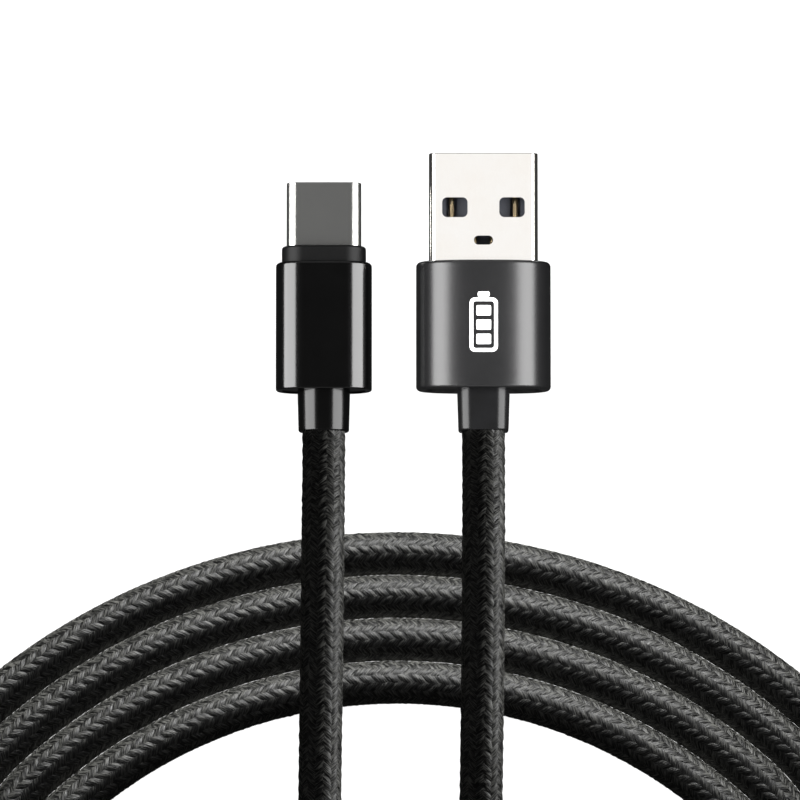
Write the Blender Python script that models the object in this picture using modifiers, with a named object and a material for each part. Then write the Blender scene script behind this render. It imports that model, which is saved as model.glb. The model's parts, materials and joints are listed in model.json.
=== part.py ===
"""Charging cable: a wide flat plug and a small oval plug on one braided lead that is wound in a flat coil.

Metres. +Y points out of the plugs' mouths, +Z is up, and the lead lies on the table at z = 0.
The origin is under the middle of the two plugs, on the table.
"""

import math

import bmesh
import bpy
from mathutils import Vector

# Driving dimensions
PLUG_SPACING = 0.0176
CLEARANCE = 0.0001          # between nested pieces of a plug
CABLE_GAP = 0.0003          # between the cable's solids and what they meet
SLEEVE_FRONT = 0.00335
SLEEVE_REAR = -0.0108
RELIEF_END = -0.01535
EDGE_ROUND = 0.00025

WIDE_TIP = 0.01535
WIDE_SHELL_SIZE = (0.0120, 0.0045)
WIDE_SHELL_WALL = 0.0003
WIDE_SHELL_REAR = -0.0010
WIDE_SLEEVE_SIZE = (0.01485, 0.0076)
WIDE_SLEEVE_WALL = 0.0007
WIDE_SLEEVE_CORNER = 0.0023
WIDE_RELIEF_SIZE = (0.00584, 0.0054)
WIDE_CONTACT_X = (-0.0035, -0.0010, 0.0010, 0.0035)
WIDE_CONTACT_FRONT = (0.0137, 0.0127, 0.0127, 0.0137)
WIDE_CONTACT_NAMES = ("power", "data_minus", "data_plus", "ground")
WINDOW_SIZE = (0.0028, 0.0022)
WINDOW_X = 0.00315
WINDOW_SETBACK = 0.00605    # from the tip to the window's middle
OVAL_HOLE_SIZE = (0.0021, 0.0010)
OVAL_HOLE_SETBACK = 0.0097

OVAL_TIP = 0.0123
OVAL_SHELL_SIZE = (0.00825, 0.0024)
OVAL_SHELL_WALL = 0.0002
OVAL_SHELL_REAR = 0.0010
OVAL_COLLAR_FRONT = 0.00517
OVAL_SLEEVE_SIZE = (0.0106, 0.0066)
OVAL_SLEEVE_WALL = 0.00055
OVAL_SLEEVE_CORNER = 0.0029
OVAL_RELIEF_SIZE = (0.00584, 0.0052)
OVAL_SLOT_SIZE = (0.0067, 0.00128)
OVAL_CONTACT_PITCH = 0.0005
OVAL_CONTACT_Z = 0.00052
OVAL_UPPER_CONTACTS = (1, 4, 5, 6, 7, 9, 12)
OVAL_LOWER_CONTACTS = (1, 4, 5, 9, 12)
LATCH_X = 0.00308
LATCH_ROOT_Y = 0.0013
LATCH_LENGTH = 0.0080
BOARD_SIZE = (0.0056, 0.0054, 0.0008)
BOARD_FRONT = 0.0006

CORE_DIAMETER = 0.0034
CORE_FRONT = -0.00645
WIRE_RADIUS = 0.0004
WIRE_BUNDLE = 0.00056       # half the spacing of the four wires where they enter the jacket
WIRE_COLOURS = {"red": (0.45, 0.02, 0.02), "white": (0.75, 0.75, 0.72),
                "green": (0.02, 0.25, 0.06), "black": (0.02, 0.02, 0.02)}

CABLE_DIAMETER = 0.0046
TURN_PITCH = 0.00474
TURNS = 4
COIL_HEIGHT = (0.0001, 0.0045)
COIL_EDGE_ROUND = 0.0021
COIL_MIDDLE_X = -0.00176
TOP_ARC_MIDDLE_Y = -0.0973
TOP_ARC_RADIUS = 0.0686     # of the outermost turn's centreline
TOP_ARC_HALF_ANGLE = math.radians(42)
CORNER_RADIUS = 0.0290
BOTTOM_ARC_HALF_ANGLE = math.radians(25)

# Plug axes: the two sleeves' outer sides stand the same distance from x = 0
OVAL_X = -(PLUG_SPACING + (WIDE_SLEEVE_SIZE[0] - OVAL_SLEEVE_SIZE[0]) / 2) / 2
WIDE_X = OVAL_X + PLUG_SPACING
WIDE_Z = WIDE_SLEEVE_SIZE[1] / 2
OVAL_Z = OVAL_SLEEVE_SIZE[1] / 2

# Routes of the two free stretches, from plug to coil
WIDE_TAIL_ROUTE = [
    (0.00774, RELIEF_END - CABLE_GAP, 0.00380), (0.00774, -0.0172, 0.00380), (0.00774, -0.0202, 0.00428),
    (0.00773, -0.0232, 0.00535), (0.00772, -0.0260, 0.00648), (0.00770, -0.0287, 0.00712),
    (0.00768, -0.0325, 0.00715), (0.00762, -0.0390, 0.00715), (0.00756, -0.0450, 0.00715),
    (0.00748, -0.0505, 0.00650), (0.00742, -0.0560, 0.00500), (0.00746, -0.0612, 0.00335),
    (0.00800, -0.0668, 0.00248), (0.00950, -0.0724, 0.00240), (0.01265, -0.0779, 0.00240),
]
OVAL_TAIL_ROUTE = [
    (-0.00986, RELIEF_END - CABLE_GAP, 0.00330), (-0.00986, -0.0170, 0.00330), (-0.00986, -0.0199, 0.00385),
    (-0.00988, -0.0229, 0.00510), (-0.00990, -0.0258, 0.00642), (-0.00992, -0.0286, 0.00712),
    (-0.00995, -0.0325, 0.00715), (-0.01002, -0.0390, 0.00715), (-0.01010, -0.0450, 0.00715),
    (-0.01018, -0.0510, 0.00668), (-0.01024, -0.0570, 0.00610), (-0.01022, -0.0630, 0.00585),
    (-0.01020, -0.0690, 0.00615), (-0.01070, -0.0750, 0.00678), (-0.01200, -0.0795, 0.00714),
    (-0.01480, -0.0852, 0.00715), (-0.01900, -0.0905, 0.00715), (-0.02110, -0.0920, 0.00715),
]

FINISHES = {
    "nickel": ((0.80, 0.78, 0.74), 0.28, 1.0),
    "steel": ((0.58, 0.58, 0.58), 0.30, 1.0),
    "gold": ((0.83, 0.60, 0.24), 0.25, 1.0),
    "brass": ((0.70, 0.52, 0.22), 0.35, 1.0),
    "grey_aluminium": ((0.060, 0.060, 0.064), 0.34, 0.6),
    "black_aluminium": ((0.012, 0.012, 0.013), 0.20, 0.6),
    "black_plastic": ((0.016, 0.016, 0.017), 0.40, 0.0),
    "charcoal_plastic": ((0.050, 0.050, 0.052), 0.70, 0.0),
    "natural_plastic": ((0.62, 0.60, 0.54), 0.50, 0.0),
    "green_board": ((0.01, 0.13, 0.06), 0.40, 0.0),
    "resistor_black": ((0.03, 0.03, 0.03), 0.35, 0.0),
    "braid": ((0.030, 0.030, 0.030), 0.75, 0.0),
    "jacket": ((0.10, 0.10, 0.10), 0.55, 0.0),
}


# Scene and finishes

def clear_scene():
    for item in list(bpy.data.objects):
        bpy.data.objects.remove(item, do_unlink=True)


def new_collection(name):
    collection = bpy.data.collections.new(name)
    bpy.context.scene.collection.children.link(collection)
    return collection


def finish_object(item, finish, colour=None):
    base, roughness, metallic = FINISHES[finish]
    material = bpy.data.materials.new(item.name + "_finish")
    material.use_nodes = True
    shader = material.node_tree.nodes["Principled BSDF"]
    shader.inputs["Base Color"].default_value = (*(colour or base), 1.0)
    shader.inputs["Roughness"].default_value = roughness
    shader.inputs["Metallic"].default_value = metallic
    item.data.materials.append(material)


def plug_axis(name, x, z):
    axis = bpy.data.objects.new(name, None)
    axis.location = (x, 0.0, z)
    PARTS.objects.link(axis)
    return axis


# Outlines, as lists of points

def rounded_rectangle(width, height, radius, steps=5):
    points = []
    corners = ((1, 1, 0), (-1, 1, 90), (-1, -1, 180), (1, -1, 270))
    for side_u, side_v, start in corners:
        middle_u = side_u * (width / 2 - radius)
        middle_v = side_v * (height / 2 - radius)
        for step in range(steps + 1):
            angle = math.radians(start + 90 * step / steps)
            points.append((middle_u + radius * math.cos(angle), middle_v + radius * math.sin(angle)))
    return points


def circle(diameter, steps=20):
    turn = 2 * math.pi / steps
    return [(diameter / 2 * math.cos(turn * i), diameter / 2 * math.sin(turn * i)) for i in range(steps)]


def across(outline, y):
    return [(u, y, v) for u, v in outline]


def flat(outline, middle, z):
    return [(middle[0] + u, middle[1] + v, z) for u, v in outline]


def smooth_route(route, spacing):
    """Points about a spacing apart on a smooth curve through the route's own points."""
    knots = [Vector(point) for point in route]
    knots = [2 * knots[0] - knots[1]] + knots + [2 * knots[-1] - knots[-2]]
    points = [knots[1]]
    for before, start, end, after in zip(knots, knots[1:], knots[2:], knots[3:]):
        steps = max(1, round((end - start).length / spacing))
        for step in range(1, steps + 1):
            t = step / steps
            points.append(0.5 * (2 * start + (end - before) * t
                                 + (2 * before - 5 * start + 4 * end - after) * t ** 2
                                 + (3 * start - before - 3 * end + after) * t ** 3))
    return points


# Solids

def add_object(name, mesh, parent, collection):
    item = bpy.data.objects.new(name, mesh)
    item.parent = parent
    collection.objects.link(item)
    return item


def closed_mesh(name, bm):
    bmesh.ops.recalc_face_normals(bm, faces=bm.faces)
    mesh = bpy.data.meshes.new(name)
    bm.to_mesh(mesh)
    bm.free()
    mesh.shade_smooth()
    mesh.set_sharp_from_angle(angle=math.radians(35))
    return mesh


def add_extrusion(bm, ring, travel, taper=1.0):
    verts = [bm.verts.new(point) for point in ring]
    face = bm.faces.new(verts)
    pushed = bmesh.ops.extrude_face_region(bm, geom=[face])["geom"]
    moved = [element for element in pushed if isinstance(element, bmesh.types.BMVert)]
    middle = sum((vert.co for vert in moved), Vector()) / len(moved)
    for vert in moved:
        vert.co = middle + (vert.co - middle) * taper + Vector(travel)


def extrusion(name, rings, travel, parent, collection, taper=1.0):
    """One closed prism for each ring of points, all pushed the same way."""
    bm = bmesh.new()
    for ring in rings:
        add_extrusion(bm, ring, travel, taper)
    return add_object(name, closed_mesh(name, bm), parent, collection)


def prism(name, outline, y_start, y_end, parent, taper=1.0):
    return extrusion(name, [across(outline, y_start)], (0, y_end - y_start, 0), parent, PARTS, taper)


def open_tube(name, outline, y_start, y_end, wall, parent):
    """A tube of even wall whose outer side has that outline."""
    bm = bmesh.new()
    verts = [bm.verts.new(point) for point in across(outline, y_start)]
    edges = [bm.edges.new((verts[i - 1], verts[i])) for i in range(len(verts))]
    pushed = bmesh.ops.extrude_edge_only(bm, edges=edges)["geom"]
    moved = [element for element in pushed if isinstance(element, bmesh.types.BMVert)]
    bmesh.ops.translate(bm, verts=moved, vec=(0, y_end - y_start, 0))
    item = add_object(name, closed_mesh(name, bm), parent, PARTS)
    thicken(item, wall, -1.0)
    return item


def thicken(item, thickness, side):
    solidify = item.modifiers.new("wall", "SOLIDIFY")
    solidify.thickness = thickness
    solidify.offset = side
    solidify.use_even_offset = True


def round_edges(item, width, segments=2):
    bevel = item.modifiers.new("edges", "BEVEL")
    bevel.width = width
    bevel.segments = segments
    bevel.limit_method = "ANGLE"
    bevel.angle_limit = math.radians(50)


def cut(item, outline, y_start, y_end, operation="DIFFERENCE"):
    """Cuts a prism along Y with that outline out of the item."""
    cutter = extrusion(item.name + "_cutter", [across(outline, y_start)],
                       (0, y_end - y_start, 0), item.parent, CUTTERS)
    apply_cutter(item, cutter, operation)


def apply_cutter(item, cutter, operation="DIFFERENCE"):
    cutter.hide_render = True
    cutter.display_type = "WIRE"
    boolean = item.modifiers.new("cut", "BOOLEAN")
    boolean.operation = operation
    boolean.object = cutter


def bent_strip(name, x, path, width, thickness, parent):
    """A flat spring strip that follows a (y, z) path."""
    bm = bmesh.new()
    verts = [bm.verts.new((x - width / 2, y, z)) for y, z in path]
    edges = [bm.edges.new(pair) for pair in zip(verts, verts[1:])]
    pushed = bmesh.ops.extrude_edge_only(bm, edges=edges)["geom"]
    moved = [element for element in pushed if isinstance(element, bmesh.types.BMVert)]
    bmesh.ops.translate(bm, verts=moved, vec=(width, 0, 0))
    item = add_object(name, closed_mesh(name, bm), parent, PARTS)
    thicken(item, thickness, 0.0)
    return item


def tube_along(name, points, radius, parent):
    curve = bpy.data.curves.new(name, "CURVE")
    curve.dimensions = "3D"
    curve.bevel_depth = radius
    curve.bevel_resolution = 2
    curve.use_fill_caps = True
    spline = curve.splines.new("POLY")
    spline.points.add(len(points) - 1)
    for place, point in zip(spline.points, points):
        place.co = (*point, 1.0)
    return add_object(name, curve, parent, PARTS)


# Pieces that both plugs have

def sleeve(name, size, corner, wall, finish, parent):
    item = open_tube(name, rounded_rectangle(*size, corner, 7), SLEEVE_REAR, SLEEVE_FRONT, wall, parent)
    round_edges(item, EDGE_ROUND)
    finish_object(item, finish)


def inside_of(size, wall):
    return [side - 2 * wall - 2 * CLEARANCE for side in size]


def opening_round(size):
    return [side + 2 * CLEARANCE for side in size]


def strain_relief(name, outline, taper, flange_outline, parent):
    flange_rear = SLEEVE_REAR + CLEARANCE
    flange_front = flange_rear + 0.0011
    item = prism(name, flange_outline, flange_front, flange_rear, parent)
    boss = extrusion(name + "_boss", [across(outline, flange_front - 0.0004)],
                     (0, RELIEF_END - flange_front + 0.0004, 0), parent, CUTTERS, taper)
    apply_cutter(item, boss, "UNION")
    cut(item, circle(CORE_DIAMETER + 2 * CLEARANCE), flange_front + 0.001, RELIEF_END - 0.001)
    finish_object(item, "black_plastic")


def crimp_ring(name, parent):
    outline = circle(CORE_DIAMETER + 2 * CLEARANCE + 0.0004)
    item = open_tube(name, outline, -0.0087, -0.0069, 0.0002, parent)
    finish_object(item, "brass")


def cable_core(name, parent):
    item = prism(name, circle(CORE_DIAMETER), CORE_FRONT, RELIEF_END + CLEARANCE, parent)
    finish_object(item, "jacket")


def wires(prefix, starts, parent):
    """Four insulated wires from their solder points to the square bundle at the jacket's end."""
    ends = ((-1, 1), (1, 1), (-1, -1), (1, -1))
    for colour, start, (side_x, side_z) in zip(WIRE_COLOURS, starts, ends):
        end = (side_x * WIRE_BUNDLE, CORE_FRONT + CLEARANCE, side_z * WIRE_BUNDLE)
        leave = (start[0], start[1] - 0.0007, start[2])
        arrive = (end[0], end[1] + 0.0005, end[2])
        item = tube_along(prefix + "_wire_" + colour, smooth_route([start, leave, arrive, end], 0.0007),
                          WIRE_RADIUS, parent)
        finish_object(item, "jacket", WIRE_COLOURS[colour])


# Wide plug

def wide_shell(parent):
    item = open_tube("wide_plug_shell", rounded_rectangle(*WIDE_SHELL_SIZE, 0.0005, 3),
                     WIDE_SHELL_REAR, WIDE_TIP, WIDE_SHELL_WALL, parent)
    window = rounded_rectangle(*WINDOW_SIZE, 0.0005, 3)
    windows = [flat(window, (side * WINDOW_X, WIDE_TIP - WINDOW_SETBACK), -0.004) for side in (-1, 1)]
    apply_cutter(item, extrusion("windows_cutter", windows, (0, 0, 0.008), parent, CUTTERS))
    hole = rounded_rectangle(*OVAL_HOLE_SIZE, 0.00049, 4)
    holes = [flat(hole, (0, WIDE_TIP - OVAL_HOLE_SETBACK), 0.001)]
    apply_cutter(item, extrusion("oval_hole_cutter", holes, (0, 0, 0.003), parent, CUTTERS))
    finish_object(item, "nickel")


def wide_insulator(parent):
    width = WIDE_SHELL_SIZE[0] - 2 * WIDE_SHELL_WALL - 2 * CLEARANCE
    half_height = WIDE_SHELL_SIZE[1] / 2 - WIDE_SHELL_WALL - CLEARANCE
    tongue_top, tongue_front, block_front, rear = -0.00005, 0.0146, 0.0032, -0.0009
    profile = [(rear, -half_height), (tongue_front, -half_height), (tongue_front, tongue_top),
               (block_front, tongue_top), (block_front, half_height), (rear, half_height)]
    ring = [(-width / 2, y, z) for y, z in profile]
    item = extrusion("wide_plug_insulator", [ring], (width, 0, 0), parent, PARTS)
    grooves = []
    for x, front in zip(WIDE_CONTACT_X, WIDE_CONTACT_FRONT):
        y_low, y_high = rear - 0.0003, front + CLEARANCE
        grooves.append([(x - 0.0006, y_low, -0.00025), (x + 0.0006, y_low, -0.00025),
                        (x + 0.0006, y_high, -0.00025), (x - 0.0006, y_high, -0.00025)])
    apply_cutter(item, extrusion("grooves_cutter", grooves, (0, 0, 0.00072), parent, CUTTERS))
    finish_object(item, "black_plastic")


def wide_contacts(parent):
    for name, x, front in zip(WIDE_CONTACT_NAMES, WIDE_CONTACT_X, WIDE_CONTACT_FRONT):
        path = [(-0.0032, -0.00002), (front - 0.0050, -0.00002), (front - 0.0036, 0.00016),
                (front - 0.0026, 0.00020), (front - 0.0016, 0.00014), (front, -0.00002)]
        item = bent_strip("wide_plug_contact_" + name, x, path, 0.0010, 0.00025, parent)
        finish_object(item, "gold")


def wide_plug():
    axis = plug_axis("wide_plug_axis", WIDE_X, WIDE_Z)
    inner = inside_of(WIDE_SLEEVE_SIZE, WIDE_SLEEVE_WALL)
    inner_outline = rounded_rectangle(*inner, WIDE_SLEEVE_CORNER - WIDE_SLEEVE_WALL)
    shell_hole = rounded_rectangle(*opening_round(WIDE_SHELL_SIZE), 0.0006, 3)
    wide_shell(axis)
    wide_insulator(axis)
    wide_contacts(axis)

    collar = prism("wide_plug_front_collar", inner_outline, 0.0017, SLEEVE_FRONT - CLEARANCE, axis)
    cut(collar, shell_hole, 0.0010, 0.0050)
    finish_object(collar, "black_plastic")

    mould = prism("wide_plug_inner_mould", inner_outline, -0.0095, 0.0015, axis)
    cut(mould, shell_hole, WIDE_SHELL_REAR - CLEARANCE, 0.0030)
    cut(mould, rounded_rectangle(0.0090, 0.0044, 0.0006, 3), -0.0110, 0.0)
    finish_object(mould, "natural_plastic")

    sleeve("wide_plug_sleeve", WIDE_SLEEVE_SIZE, WIDE_SLEEVE_CORNER, WIDE_SLEEVE_WALL,
           "grey_aluminium", axis)
    strain_relief("wide_plug_strain_relief", rounded_rectangle(*WIDE_RELIEF_SIZE, 0.0015), 0.945,
                  inner_outline, axis)
    crimp_ring("wide_plug_crimp_ring", axis)
    cable_core("wide_plug_cable_core", axis)
    inner_x, outer_x = WIDE_CONTACT_X[2], WIDE_CONTACT_X[3]
    solder_y, solder_z = -0.0022, 0.00062
    wires("wide_plug", [(-inner_x, solder_y, solder_z), (inner_x, solder_y, solder_z),
                        (-outer_x, solder_y, solder_z), (outer_x, solder_y, solder_z)], axis)


# Oval plug

def oval_insulator(parent):
    width, height = 0.00765, 0.00168
    item = prism("oval_plug_insulator", rounded_rectangle(width, height, height / 2 - 0.00001),
                 0.0009, OVAL_TIP - 0.0002, parent)
    cut(item, rounded_rectangle(*OVAL_SLOT_SIZE, 0.0003, 3), -0.001, OVAL_TIP + 0.001)
    finish_object(item, "black_plastic")


def oval_contacts(parent):
    """The upper row counts from left to right, and the lower row from right to left."""
    rows = [("a", 1, OVAL_UPPER_CONTACTS), ("b", -1, OVAL_LOWER_CONTACTS)]
    for letter, side, numbers in rows:
        for number in numbers:
            x = side * (number - 6.5) * OVAL_CONTACT_PITCH
            z = side * OVAL_CONTACT_Z
            bump = side * (OVAL_CONTACT_Z - 0.0001)
            path = [(-0.0006, z), (0.0078, z), (0.0088, bump), (0.0098, bump), (0.0108, z), (0.0114, z)]
            item = bent_strip(f"oval_plug_contact_{letter}{number}", x, path, 0.0003, 0.00012, parent)
            finish_object(item, "gold")


def oval_latches(parent):
    """Sprung side arms. Each one's origin is on the line that it bends about."""
    height = 0.0005
    arm = [(-0.0001, -0.0003), (0.0001, -0.0003), (0.0001, LATCH_LENGTH), (-0.00012, LATCH_LENGTH),
           (-0.0004, LATCH_LENGTH - 0.0004), (-0.0004, LATCH_LENGTH - 0.0007),
           (-0.0001, LATCH_LENGTH - 0.0011)]
    for name, side in (("oval_plug_latch_left", -1), ("oval_plug_latch_right", 1)):
        ring = [(side * x, y, -height / 2) for x, y in arm]
        item = extrusion(name, [ring], (0, 0, height), parent, PARTS)
        item.location = (side * LATCH_X, LATCH_ROOT_Y, 0)
        finish_object(item, "steel")


def oval_ground_springs(parent):
    """Thin plates with four fingers each, between the liner and the shield."""
    thickness, low = 0.00008, 0.000875
    front, root, back, finger, spacing = 0.0088, 0.0058, 0.0042, 0.0008, 0.0014
    outline = [(-2.5 * spacing + finger, back), (2.5 * spacing - finger, back)]
    for i in (1.5, 0.5, -0.5, -1.5):
        outline += [(i * spacing + finger / 2, root), (i * spacing + finger / 2, front),
                    (i * spacing - finger / 2, front), (i * spacing - finger / 2, root)]
    for name, z in (("upper", low), ("lower", -low - thickness)):
        ring = flat(outline, (0, 0), z)
        item = extrusion("oval_plug_ground_spring_" + name, [ring], (0, 0, thickness), parent, PARTS)
        finish_object(item, "steel")


def oval_board(parent):
    width, length, thickness = BOARD_SIZE
    board = prism("oval_plug_circuit_board", rounded_rectangle(width, thickness, 0.00005, 1),
                  BOARD_FRONT - length, BOARD_FRONT, parent)
    finish_object(board, "green_board")
    body = [(0.0001, -0.0023), (0.0011, -0.0023), (0.0011, -0.0018), (0.0001, -0.0018)]
    resistor = extrusion("oval_plug_resistor", [flat(body, (0, 0), thickness / 2 + CLEARANCE)],
                         (0, 0, 0.00035), parent, PARTS)
    round_edges(resistor, 0.00005, 1)
    finish_object(resistor, "resistor_black")


def oval_plug():
    axis = plug_axis("oval_plug_axis", OVAL_X, OVAL_Z)
    inner = inside_of(OVAL_SLEEVE_SIZE, OVAL_SLEEVE_WALL)
    inner_outline = rounded_rectangle(*inner, OVAL_SLEEVE_CORNER - OVAL_SLEEVE_WALL)
    shell_hole_size = opening_round(OVAL_SHELL_SIZE)
    shell_hole = rounded_rectangle(*shell_hole_size, shell_hole_size[1] / 2 - 0.00001)
    shell = open_tube("oval_plug_shell",
                      rounded_rectangle(*OVAL_SHELL_SIZE, OVAL_SHELL_SIZE[1] / 2 - 0.00001, 8),
                      OVAL_SHELL_REAR, OVAL_TIP, OVAL_SHELL_WALL, axis)
    finish_object(shell, "steel")
    oval_insulator(axis)
    oval_contacts(axis)
    oval_latches(axis)
    oval_ground_springs(axis)
    oval_board(axis)

    collar = prism("oval_plug_front_collar", inner_outline, 0.0016, OVAL_COLLAR_FRONT, axis)
    cut(collar, shell_hole, 0.0010, 0.0070)
    round_edges(collar, 0.00015, 1)
    finish_object(collar, "charcoal_plastic")

    mould = prism("oval_plug_inner_mould", inner_outline, -0.0095, 0.0014, axis)
    cut(mould, shell_hole, OVAL_SHELL_REAR - 1.5 * CLEARANCE, 0.0030)
    cut(mould, rounded_rectangle(0.0064, 0.0042, 0.0008, 3), -0.0110, OVAL_SHELL_REAR)
    finish_object(mould, "natural_plastic")

    sleeve("oval_plug_sleeve", OVAL_SLEEVE_SIZE, OVAL_SLEEVE_CORNER, OVAL_SLEEVE_WALL,
           "black_aluminium", axis)
    strain_relief("oval_plug_strain_relief", rounded_rectangle(*OVAL_RELIEF_SIZE, 0.0025), 0.955,
                  inner_outline, axis)
    crimp_ring("oval_plug_crimp_ring", axis)
    cable_core("oval_plug_cable_core", axis)
    solder_x, solder_y, solder_z = 0.0016, -0.0036, 0.00092
    wires("oval_plug", [(-solder_x, solder_y, solder_z), (solder_x, solder_y, solder_z),
                        (-solder_x, solder_y, -solder_z), (solder_x, solder_y, -solder_z)], axis)


# Cable

def coil_point(angle, inset):
    """A point of the coil's outline: where its outward normal has that angle, an inset inside the outermost turn."""
    corner_arm = TOP_ARC_RADIUS - CORNER_RADIUS
    corner_x = corner_arm * math.sin(TOP_ARC_HALF_ANGLE)
    corner_y = TOP_ARC_MIDDLE_Y + corner_arm * math.cos(TOP_ARC_HALF_ANGLE)
    bottom_arm = corner_x / math.sin(BOTTOM_ARC_HALF_ANGLE)
    from_top = abs(math.remainder(angle - math.pi / 2, 2 * math.pi))
    from_bottom = math.pi - from_top
    if from_top <= TOP_ARC_HALF_ANGLE:
        middle_x, middle_y, radius = 0.0, TOP_ARC_MIDDLE_Y, TOP_ARC_RADIUS
    elif from_bottom <= BOTTOM_ARC_HALF_ANGLE:
        middle_x = 0.0
        middle_y = corner_y + bottom_arm * math.cos(BOTTOM_ARC_HALF_ANGLE)
        radius = CORNER_RADIUS + bottom_arm
    else:
        middle_x = math.copysign(corner_x, math.cos(angle))
        middle_y, radius = corner_y, CORNER_RADIUS
    radius -= inset
    return (COIL_MIDDLE_X + middle_x + radius * math.cos(angle), middle_y + radius * math.sin(angle))


def cable_coil():
    """The flat coil's outer shape: a ribbon along its middle turn, thickened to the width of all its turns."""
    steps = 64
    middle = (TURNS - 1) * TURN_PITCH / 2
    low, high = COIL_HEIGHT
    bm = bmesh.new()
    verts = []
    for step in range(steps):
        x, y = coil_point(2 * math.pi * step / steps, middle)
        verts.append(bm.verts.new((x, y, low)))
    edges = [bm.edges.new((verts[i - 1], verts[i])) for i in range(steps)]
    pushed = bmesh.ops.extrude_edge_only(bm, edges=edges)["geom"]
    moved = [element for element in pushed if isinstance(element, bmesh.types.BMVert)]
    bmesh.ops.translate(bm, verts=moved, vec=(0, 0, high - low))
    item = add_object("cable_coil", closed_mesh("cable_coil", bm), None, PARTS)
    thicken(item, (TURNS - 1) * TURN_PITCH + CABLE_DIAMETER, 0.0)
    round_edges(item, COIL_EDGE_ROUND)
    finish_object(item, "braid")


def cable_tails():
    for name, route in (("cable_tail_wide", WIDE_TAIL_ROUTE), ("cable_tail_oval", OVAL_TAIL_ROUTE)):
        item = tube_along(name, smooth_route(route, 0.0060), CABLE_DIAMETER / 2, None)
        finish_object(item, "braid")


clear_scene()
PARTS = new_collection("charging_cable")
CUTTERS = new_collection("cutters")
wide_plug()
oval_plug()
cable_coil()
cable_tails()
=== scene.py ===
import json
import math
import bpy
import bmesh
import numpy as np
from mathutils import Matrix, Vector

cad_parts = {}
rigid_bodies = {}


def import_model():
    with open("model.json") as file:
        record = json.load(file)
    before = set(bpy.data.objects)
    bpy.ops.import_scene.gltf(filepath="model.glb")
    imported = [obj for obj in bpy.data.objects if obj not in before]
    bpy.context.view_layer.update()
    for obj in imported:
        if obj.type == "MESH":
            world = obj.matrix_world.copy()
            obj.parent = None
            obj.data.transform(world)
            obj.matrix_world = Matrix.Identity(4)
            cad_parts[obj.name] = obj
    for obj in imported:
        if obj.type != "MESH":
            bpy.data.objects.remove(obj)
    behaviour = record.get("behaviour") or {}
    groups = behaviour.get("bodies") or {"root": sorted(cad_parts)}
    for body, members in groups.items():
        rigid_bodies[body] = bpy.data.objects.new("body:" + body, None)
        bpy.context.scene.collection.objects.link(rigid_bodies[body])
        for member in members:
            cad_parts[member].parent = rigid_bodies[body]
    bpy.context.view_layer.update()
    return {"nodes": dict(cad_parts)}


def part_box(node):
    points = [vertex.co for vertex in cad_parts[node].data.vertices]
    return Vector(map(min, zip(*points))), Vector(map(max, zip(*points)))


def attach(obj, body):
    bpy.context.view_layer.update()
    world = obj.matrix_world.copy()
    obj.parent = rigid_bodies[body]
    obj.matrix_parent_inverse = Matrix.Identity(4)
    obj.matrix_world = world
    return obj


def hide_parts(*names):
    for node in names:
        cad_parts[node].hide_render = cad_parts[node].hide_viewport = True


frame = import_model()
plugBody = "cable_and_plugs"
wideX = 0.0077375    # the two plugs' long axes lie along Y
wideZ = 0.0038
ovalX = -0.0098625
ovalZ = 0.0033
tailStart = -0.01535    # Y where the cable leaves each strain relief
print("frame loaded:", len(frame["nodes"]), "solids")


viewFigures = {
    "middle": (-0.00146, -0.0118, 0.0035),    # what the camera looks at
    "side": 0.0882,    # width of what it sees, in metres
    "distance": 0.92,
    "lean": 6.0,    # degrees from straight above, towards the cables
}


def addCamera():
    data = bpy.data.cameras.new("productCamera")
    data.sensor_width = 36.0
    data.lens = data.sensor_width * viewFigures["distance"] / viewFigures["side"]
    data.clip_start = 0.02
    data.clip_end = 20.0
    camera = bpy.data.objects.new("productCamera", data)
    bpy.context.scene.collection.objects.link(camera)
    lean = math.radians(viewFigures["lean"])
    away = Vector((0.0, -math.sin(lean), math.cos(lean)))
    camera.location = Vector(viewFigures["middle"]) + away * viewFigures["distance"]
    camera.rotation_euler = (lean, 0.0, 0.0)
    bpy.context.scene.camera = camera
    return camera


addCamera()
print("camera placed")


class Strand:
    # one output of a node; sums and products of it add Math nodes
    def __init__(self, finish, socket):
        self.finish = finish
        self.socket = socket

    def maths(self, operation, *values):
        return self.finish.node("ShaderNodeMath", {"operation": operation}, dict(enumerate(values)))

    def __add__(self, other):
        return self.maths("ADD", self, other)

    def __radd__(self, other):
        return self.maths("ADD", other, self)

    def __sub__(self, other):
        return self.maths("SUBTRACT", self, other)

    def __rsub__(self, other):
        return self.maths("SUBTRACT", other, self)

    def __mul__(self, other):
        return self.maths("MULTIPLY", self, other)

    def __rmul__(self, other):
        return self.maths("MULTIPLY", other, self)

    def __mod__(self, other):
        return self.maths("FLOORED_MODULO", self, other)

    def __rmod__(self, other):
        return self.maths("FLOORED_MODULO", other, self)

    def __abs__(self):
        return self.maths("ABSOLUTE", self)


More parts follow.
